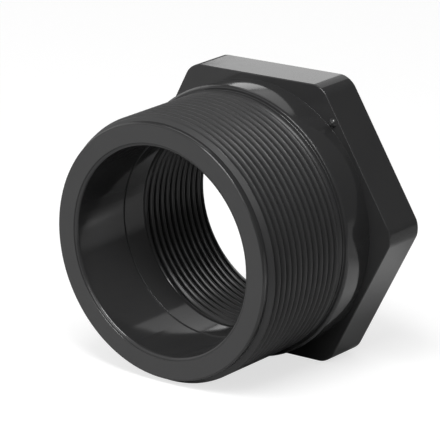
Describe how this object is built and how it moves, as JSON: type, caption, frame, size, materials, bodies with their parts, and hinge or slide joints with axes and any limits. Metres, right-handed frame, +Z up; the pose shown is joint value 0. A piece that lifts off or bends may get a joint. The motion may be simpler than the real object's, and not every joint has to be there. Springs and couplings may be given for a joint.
{
  "type": "threaded pipe reducer",
  "caption": "Moulded plastic reducer bush with a hexagon collar: an outside pipe thread on the larger end steps down to an inside pipe thread through the collar.",
  "frame": {"origin": "centre of the hexagon's end face, on the bore axis, at the mouth of the inside thread", "axes": "+Y along the bore axis, out of the inside thread's mouth; the outside thread points to -Y; +X towards a corner of the hexagon; +Z up, normal to the hexagon's top flat, with the opposite flat underneath"},
  "size_m": [0.0906, 0.0568, 0.08],
  "materials": {
    "body": "dark grey PVC as moulded, semi-gloss, smooth"
  },
  "bodies": {
    "root": {"reducer": "body"}
  },
  "joints": []
}
